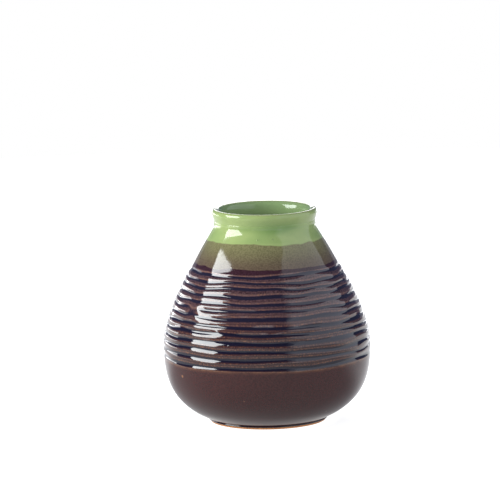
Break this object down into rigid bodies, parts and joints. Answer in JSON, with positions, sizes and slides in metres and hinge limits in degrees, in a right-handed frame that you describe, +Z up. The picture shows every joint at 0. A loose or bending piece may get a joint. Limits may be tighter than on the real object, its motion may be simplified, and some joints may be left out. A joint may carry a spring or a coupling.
{
  "type": "ceramic mate gourd cup",
  "caption": "Empty pear-shaped ceramic cup for mate, with a narrow rolled lip, combed ribs round its belly and a low foot ring.",
  "frame": {"origin": "centre of the foot ring, on the surface that the cup stands on", "axes": "+Z up along the axis that the cup was turned on; -Y towards the camera"},
  "size_m": [0.1002, 0.1002, 0.1035],
  "materials": {
    "glaze": "gloss"
  },
  "bodies": {
    "root": {"gourd_cup": "glaze"}
  },
  "joints": []
}
